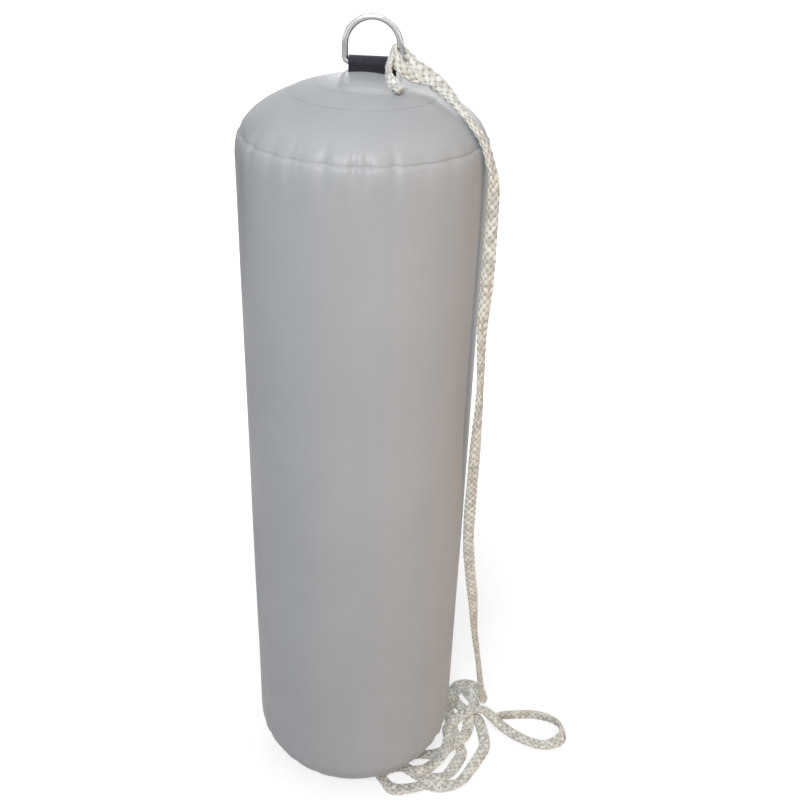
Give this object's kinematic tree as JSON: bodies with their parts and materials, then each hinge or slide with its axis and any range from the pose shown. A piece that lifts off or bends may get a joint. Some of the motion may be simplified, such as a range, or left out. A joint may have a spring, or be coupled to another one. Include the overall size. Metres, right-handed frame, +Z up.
{
  "type": "inflatable boat fender",
  "caption": "Upright cylindrical inflatable fender with domed ends, a webbing-held D-ring on top, a flat braided line spliced to it and an inflation valve on the back.",
  "frame": {"origin": "middle of the flat spot that the fender stands on, on the floor", "axes": "+Z up along the fender, +X towards the side where the line hangs, +Y towards the inflation valve on the back"},
  "size_m": [0.415, 0.2645, 0.9332],
  "materials": {
    "coated_fabric": "satin light grey coated fabric",
    "webbing": "woven black polyester webbing",
    "polished_steel": "polished stainless steel wire",
    "braid": "off-white flat braided cord, slightly shiny",
    "valve_plastic": "satin mid grey moulded plastic",
    "leash_plastic": "soft grey moulded plastic"
  },
  "bodies": {
    "fender": {"air_chamber": "coated_fabric", "base_patch": "coated_fabric", "strap_patch": "coated_fabric", "webbing_loop": "webbing", "line_ring_eye": "braid", "line_stub": "braid", "line_ring_splice": "braid", "line_fall": "braid", "line_heap": "braid", "line_end_eye": "braid", "valve_patch": "coated_fabric", "valve_body": "valve_plastic", "cap_leash": "leash_plastic"},
    "ring": {"d_ring": "polished_steel"},
    "cap": {"valve_cap": "valve_plastic"}
  },
  "joints": [
    {"name": "ring_swing", "type": "hinge", "parent": "fender", "child": "ring", "pos_m": [0.0075, 0, 0.8898], "axis": [1, 0, 0], "range_deg": [-90, 90], "deforming": ["line_ring_eye", "line_stub"]},
    {"name": "cap_turn", "type": "hinge", "parent": "fender", "child": "cap", "pos_m": [0, 0.13, 0.735], "axis": [0, 1, 0], "range_deg": [0, 90]}
  ]
}
